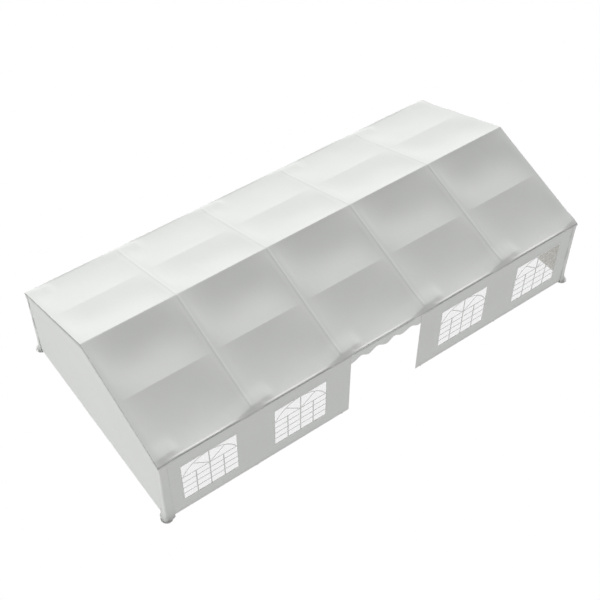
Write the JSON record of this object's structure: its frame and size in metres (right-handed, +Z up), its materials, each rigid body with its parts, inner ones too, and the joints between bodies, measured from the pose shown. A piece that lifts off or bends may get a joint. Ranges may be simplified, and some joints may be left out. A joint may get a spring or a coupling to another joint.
{
  "type": "marquee tent",
  "caption": "Long white marquee tent on a steel tube frame, with a pitched sheet roof, windowed side walls and one open bay in the front.",
  "frame": {"origin": "centre of the plan at ground level, under the ridge", "axes": "+X along the ridge, -Y out through the open bay in the front, +Z up"},
  "size_m": [12.2074, 6.1408, 3.1],
  "materials": {
    "frame_steel": "galvanised",
    "roof_sheet": "white coated sheet, satin",
    "wall_sheet": "white coated sheet, satin",
    "window_film": "clear plastic film"
  },
  "bodies": {
    "root": {"post_front_1": "frame_steel", "post_front_2": "frame_steel", "post_front_3": "frame_steel", "post_front_4": "frame_steel", "post_front_5": "frame_steel", "post_front_6": "frame_steel", "post_back_1": "frame_steel", "post_back_2": "frame_steel", "post_back_3": "frame_steel", "post_back_4": "frame_steel", "post_back_5": "frame_steel", "post_back_6": "frame_steel", "rafter_front_1": "frame_steel", "rafter_front_2": "frame_steel", "rafter_front_3": "frame_steel", "rafter_front_4": "frame_steel", "rafter_front_5": "frame_steel", "rafter_front_6": "frame_steel", "rafter_back_1": "frame_steel", "rafter_back_2": "frame_steel", "rafter_back_3": "frame_steel", "rafter_back_4": "frame_steel", "rafter_back_5": "frame_steel", "rafter_back_6": "frame_steel", "eave_beam_front": "frame_steel", "eave_beam_back": "frame_steel", "purlin_front": "frame_steel", "purlin_back": "frame_steel", "ridge_beam": "frame_steel", "roof_cover": "roof_sheet", "valance_front": "wall_sheet", "valance_back": "wall_sheet", "wall_front_left": "wall_sheet", "wall_front_right": "wall_sheet", "wall_back": "wall_sheet", "gable_left": "wall_sheet", "gable_right": "wall_sheet", "sleeve_front_left": "wall_sheet", "sleeve_front_right": "wall_sheet", "sleeve_back_left": "wall_sheet", "sleeve_back_right": "wall_sheet", "window_film_front_left": "window_film", "window_film_front_right": "window_film", "window_film_back": "window_film"}
  },
  "joints": []
}
